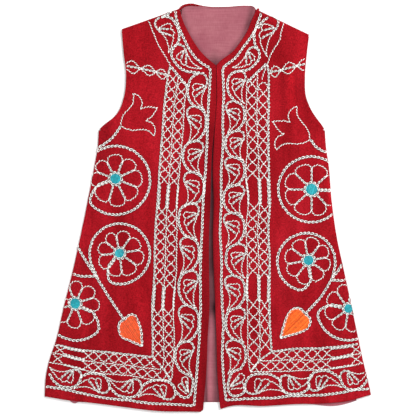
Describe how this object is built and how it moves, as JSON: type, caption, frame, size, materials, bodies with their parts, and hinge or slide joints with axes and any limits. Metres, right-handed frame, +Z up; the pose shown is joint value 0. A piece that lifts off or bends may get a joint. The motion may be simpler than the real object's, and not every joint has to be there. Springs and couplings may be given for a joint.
{
  "type": "embroidered folk vest",
  "caption": "Sleeveless open-front velvet vest with a flared hem and chain-stitched cord embroidery, laid flat with its front up.",
  "frame": {"origin": "on the table, under the middle of the vest's outline", "axes": "+X towards the wearer's left, +Y from hem to neck, +Z up from the table, out of the vest's front"},
  "size_m": [0.654, 0.8175, 0.0124],
  "materials": {
    "red_velvet": "crimson cotton velvet, short pile with brushed patches",
    "pink_lining": "dusty pink plain-woven cotton with crosswise slubs, lightly creased",
    "white_cord": "two-ply white cotton cord with a silvery strand, matt",
    "turquoise_thread": "turquoise wool thread, laid side by side",
    "orange_thread": "orange silk thread, laid side by side, soft sheen"
  },
  "bodies": {
    "root": {"back_panel": "red_velvet", "back_lining": "pink_lining", "right_front": "red_velvet", "left_front": "red_velvet"}
  },
  "joints": []
}
